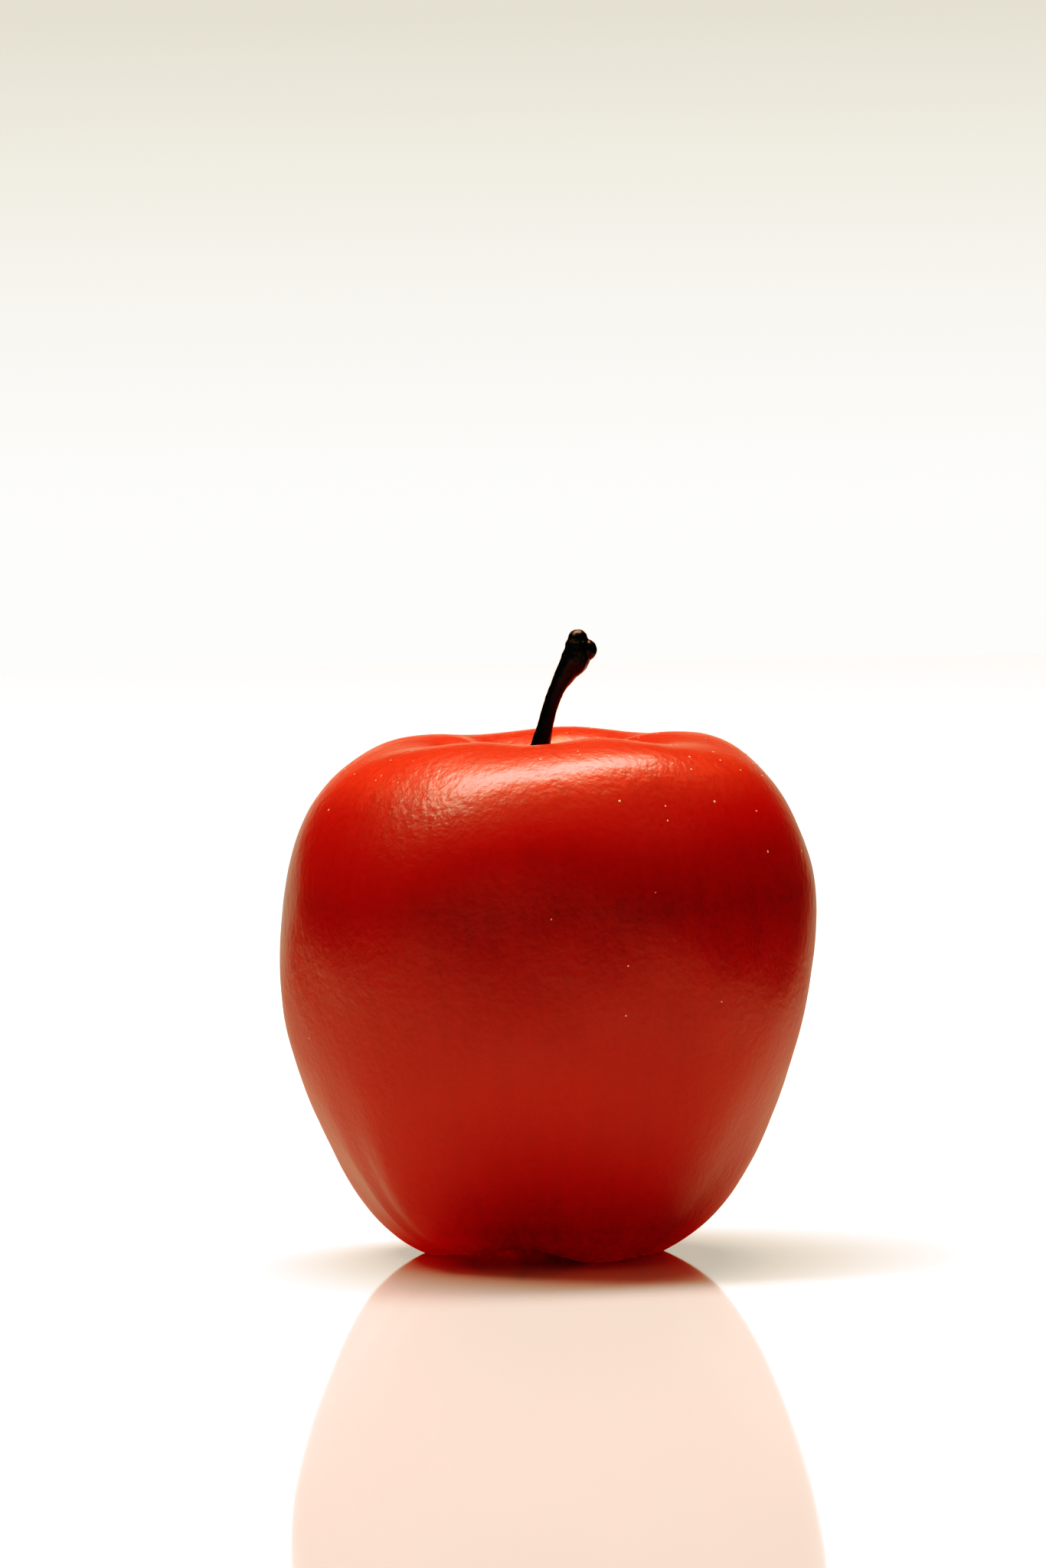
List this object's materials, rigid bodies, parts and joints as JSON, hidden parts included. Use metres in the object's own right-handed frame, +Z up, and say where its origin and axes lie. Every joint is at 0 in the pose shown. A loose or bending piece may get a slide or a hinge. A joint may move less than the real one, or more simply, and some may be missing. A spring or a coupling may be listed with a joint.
{
  "type": "apple",
  "caption": "Tall red dessert apple with lobed crown and feet, a curved dark stem with a knobbed end and a dried calyx underneath.",
  "frame": {"origin": "on the surface the apple stands on, under the middle of its bounding box", "axes": "+Z up from the blossom end to the stem, +X to the side the stem leans to, front at -Y"},
  "size_m": [0.0764, 0.0762, 0.0891],
  "materials": {
    "skin": "satin",
    "stem_bark": "matte",
    "dried_sepal": "matte",
    "dried_stamen": "matte"
  },
  "bodies": {
    "root": {"apple_body": "skin", "stem": "stem_bark", "sepal_1": "dried_sepal", "sepal_2": "dried_sepal", "sepal_3": "dried_sepal", "sepal_4": "dried_sepal", "sepal_5": "dried_sepal", "stamens": "dried_stamen"}
  },
  "joints": []
}
